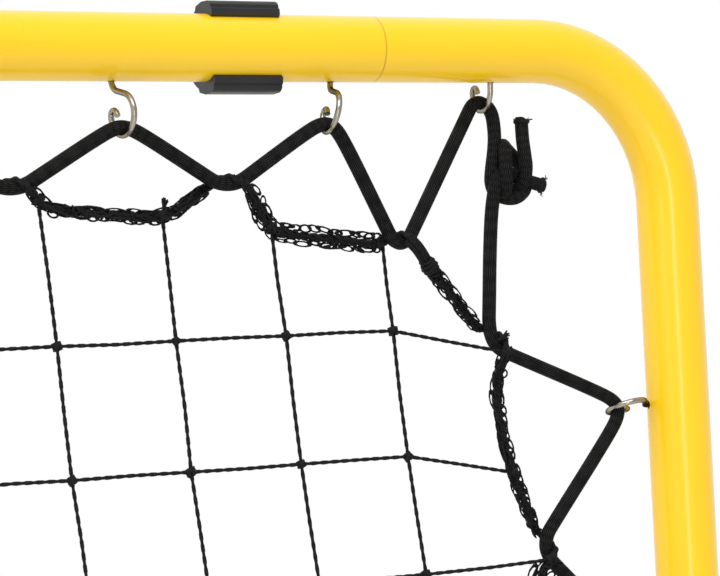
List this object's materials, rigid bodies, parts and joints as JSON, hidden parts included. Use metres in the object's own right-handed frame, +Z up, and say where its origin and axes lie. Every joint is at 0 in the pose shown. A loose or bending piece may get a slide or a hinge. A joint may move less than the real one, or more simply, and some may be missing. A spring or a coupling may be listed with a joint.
{
  "type": "pitch back rebounder",
  "caption": "Square leaning rebound net in a tube frame, laced with elastic cord to wire hooks, on a rear bow that folds and is held by clamp knobs.",
  "frame": {"origin": "on the ground, below the middle of the object's bounding box", "axes": "+Z up, +X along the top bar to the right as seen from the front, the net faces -Y and its top leans back towards +Y"},
  "size_m": [0.9694, 0.803, 0.9731],
  "materials": {
    "frame_paint": "glossy yellow powder coat",
    "zinc": "zinc plated",
    "nickel_wire": "bright nickel plate",
    "black_plastic": "moulded, satin",
    "elastic_cord": "braided sheath",
    "net_twine": "twisted twine"
  },
  "bodies": {
    "net_frame": {"left_side_rail": "frame_paint", "right_side_rail": "frame_paint", "top_bar": "frame_paint", "bottom_bar": "frame_paint", "frame_joint_screws": "zinc", "left_angle_plate": "frame_paint", "right_angle_plate": "frame_paint", "pivot_bolts": "zinc", "pivot_nuts": "zinc", "pivot_nut_washers": "zinc", "top_hooks": "nickel_wire", "bottom_hooks": "nickel_wire", "left_hooks": "nickel_wire", "right_hooks": "nickel_wire", "storage_clips": "black_plastic", "front_foot_pads": "black_plastic", "lacing_cord": "elastic_cord", "lacing_knot": "elastic_cord", "net_border": "net_twine", "net_mesh": "net_twine"},
    "rear_bow": {"left_bow_leg": "frame_paint", "right_bow_leg": "frame_paint", "bow_crossbar": "frame_paint", "bow_joint_screws": "zinc", "bow_end_plugs": "black_plastic", "pivot_bushes": "black_plastic", "pivot_washers": "black_plastic", "clamp_bolts": "zinc", "clamp_washers": "black_plastic", "rear_foot_pads": "black_plastic"},
    "left_knob": {"left_clamp_knob": "black_plastic"},
    "right_knob": {"right_clamp_knob": "black_plastic"}
  },
  "joints": [
    {"name": "bow_fold", "type": "hinge", "parent": "net_frame", "child": "rear_bow", "pos_m": [0, -0.33378, 0.21227], "axis": [1, 0, 0], "range_deg": [-20, 99.25]},
    {"name": "left_knob_turn", "type": "hinge", "parent": "rear_bow", "child": "left_knob", "pos_m": [-0.44395, -0.27589, 0.19649], "axis": [1, 0, 0], "range_deg": [0, 360]},
    {"name": "right_knob_turn", "type": "hinge", "parent": "rear_bow", "child": "right_knob", "pos_m": [0.44395, -0.27589, 0.19649], "axis": [-1, 0, 0], "range_deg": [0, 360]}
  ]
}
